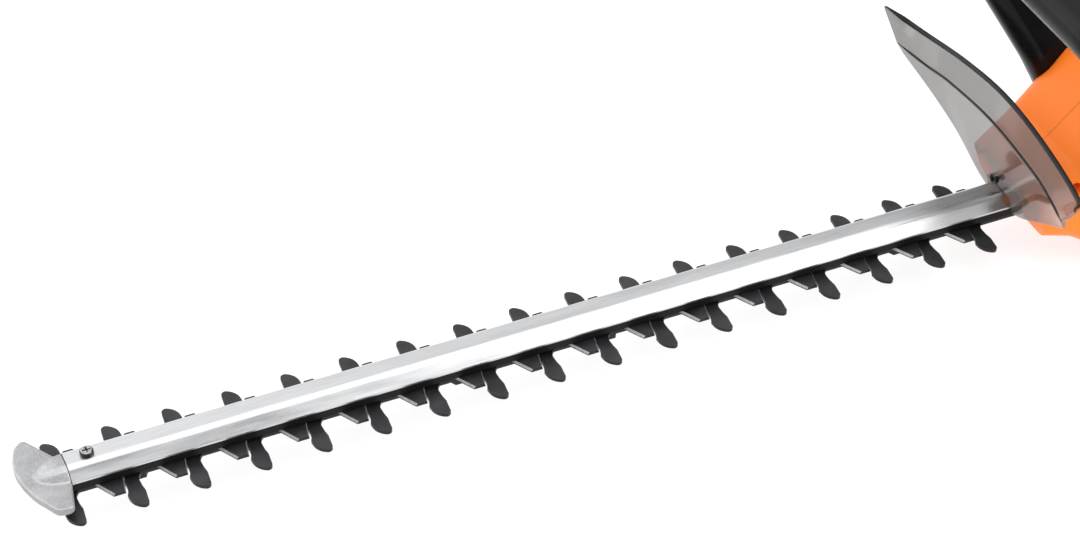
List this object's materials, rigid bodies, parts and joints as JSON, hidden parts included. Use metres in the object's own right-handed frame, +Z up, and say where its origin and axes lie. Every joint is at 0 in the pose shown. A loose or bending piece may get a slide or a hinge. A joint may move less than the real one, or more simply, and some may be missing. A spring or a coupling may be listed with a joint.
{
  "type": "hedge trimmer",
  "caption": "Battery hedge trimmer with a long double-sided blade, tip guard, see-through hand guard, looped front handle, rear trigger handle and slide-on battery.",
  "frame": {"origin": "middle of the tool's length and width, on the plane it stands on", "axes": "+X from the blade's tip towards the battery, +Z up, -Y the tool's left side"},
  "size_m": [1.01, 0.206, 0.1948],
  "materials": {
    "blade_steel": "dark satin steel with bright ground edges",
    "bar_aluminium": "extruded, lengthwise brushed",
    "cast_aluminium": "grainy matte casting",
    "dark_screw": "dark bright-zinc screw",
    "strip_plastic": "matte black",
    "orange_plastic": "fine satin texture",
    "black_gloss": "glossy black",
    "black_plastic": "fine matte texture",
    "smoky_clear": "see-through smoky plastic",
    "gear_steel": "machined",
    "bearing_steel": "ground",
    "gearbox_alloy": "die cast",
    "screw_steel": "zinc plated",
    "motor_steel": "drawn and plated",
    "magnet_dark": "ferrite",
    "core_steel": "laminated",
    "copper": "enamelled copper wire",
    "board_green": "solder mask",
    "contact_brass": "tinned",
    "cell_wrap": "shrink-wrapped steel cells",
    "red_lead": "insulated wire",
    "spring_steel": "drawn wire"
  },
  "bodies": {
    "tool": {"blade_bar": "bar_aluminium", "guide_strip": "strip_plastic", "tip_guard": "cast_aluminium", "tip_guard_screw": "dark_screw", "blade_bolts": "blade_steel", "blade_washers": "blade_steel", "blade_bushes": "bearing_steel", "gearbox_base": "gearbox_alloy", "gearbox_cover": "gearbox_alloy", "gear_bearings": "bearing_steel", "gearbox_screws": "screw_steel", "bar_screws": "screw_steel", "motor_can": "motor_steel", "motor_screws": "screw_steel", "motor_magnets": "magnet_dark", "motor_end_bell": "black_plastic", "motor_bearings": "bearing_steel", "left_housing": "orange_plastic", "right_housing": "orange_plastic", "housing_screws": "dark_screw", "belly_cover": "black_plastic", "belly_screws": "dark_screw", "hand_guard": "smoky_clear", "hand_guard_screw": "dark_screw", "front_handle_front": "black_gloss", "front_handle_back": "black_gloss", "front_handle_screws": "dark_screw", "front_lever_pin": "screw_steel", "front_switch": "black_plastic", "trigger_pin": "screw_steel", "trigger_spring": "spring_steel", "lock_off_bracket": "screw_steel", "lock_off_spring": "spring_steel", "main_switch": "black_plastic", "controller_board": "board_green", "battery_leads": "red_lead", "terminal_block": "black_plastic", "terminal_blades": "contact_brass"},
    "upper_blade": {"upper_blade": "blade_steel"},
    "lower_blade": {"lower_blade": "blade_steel"},
    "drive": {"drive_gear": "gear_steel", "gear_shaft": "gear_steel", "upper_cam": "gear_steel", "lower_cam": "gear_steel"},
    "rotor": {"motor_shaft": "gear_steel", "armature_core": "core_steel", "armature_windings": "copper", "commutator": "contact_brass", "motor_pinion": "gear_steel", "cooling_fan": "black_plastic"},
    "trigger": {"trigger": "black_plastic"},
    "lock_off": {"lock_off_button": "black_plastic"},
    "front_lever": {"front_switch_lever": "black_plastic"},
    "battery": {"battery_lower_case": "black_plastic", "battery_upper_case": "black_plastic", "battery_cells": "cell_wrap", "battery_board": "board_green", "battery_contacts": "contact_brass"},
    "left_release": {"left_release_button": "orange_plastic"},
    "right_release": {"right_release_button": "orange_plastic"}
  },
  "joints": [
    {"name": "upper_blade_slide", "type": "slide", "parent": "tool", "child": "upper_blade", "axis": [1, 0, 0], "range_m": [-0.00825, 0.00825]},
    {"name": "lower_blade_slide", "type": "slide", "parent": "tool", "child": "lower_blade", "axis": [1, 0, 0], "range_m": [-0.00825, 0.00825]},
    {"name": "drive_spin", "type": "hinge", "parent": "tool", "child": "drive", "pos_m": [0.149, 0, 0.036], "axis": [0, 0, 1], "continuous": true},
    {"name": "rotor_spin", "type": "hinge", "parent": "tool", "child": "rotor", "pos_m": [0.182, 0, 0.07], "axis": [0, 0, 1], "continuous": true},
    {"name": "trigger_pull", "type": "hinge", "parent": "tool", "child": "trigger", "pos_m": [0.296, 0, 0.117], "axis": [0, -1, 0], "range_deg": [0, 8], "stiffness_Nm_per_rad": 0.9, "springref_deg": -14.32},
    {"name": "lock_off_press", "type": "slide", "parent": "tool", "child": "lock_off", "axis": [0, 0, -1], "range_m": [0, 0.004], "stiffness_N_per_m": 800, "springref_m": -0.003, "deforming": ["lock_off_spring"]},
    {"name": "front_lever_squeeze", "type": "hinge", "parent": "tool", "child": "front_lever", "pos_m": [0.07915, 0, 0.17048], "axis": [0, -1, 0], "range_deg": [0, 8], "stiffness_Nm_per_rad": 0.9, "springref_deg": -14.32},
    {"name": "battery_slide", "type": "slide", "parent": "tool", "child": "battery", "axis": [1, 0, 0], "range_m": [0, 0.12]},
    {"name": "left_release_press", "type": "slide", "parent": "battery", "child": "left_release", "axis": [0, 1, 0], "range_m": [0, 0.003], "stiffness_N_per_m": 900, "springref_m": -0.002},
    {"name": "right_release_press", "type": "slide", "parent": "battery", "child": "right_release", "axis": [0, -1, 0], "range_m": [0, 0.003], "stiffness_N_per_m": 900, "springref_m": -0.002}
  ],
  "couplings": [
    {"joint": "lower_blade_slide", "follows": "upper_blade_slide", "ratio": -1},
    {"joint": "rotor_spin", "follows": "drive_spin", "ratio": -5}
  ]
}
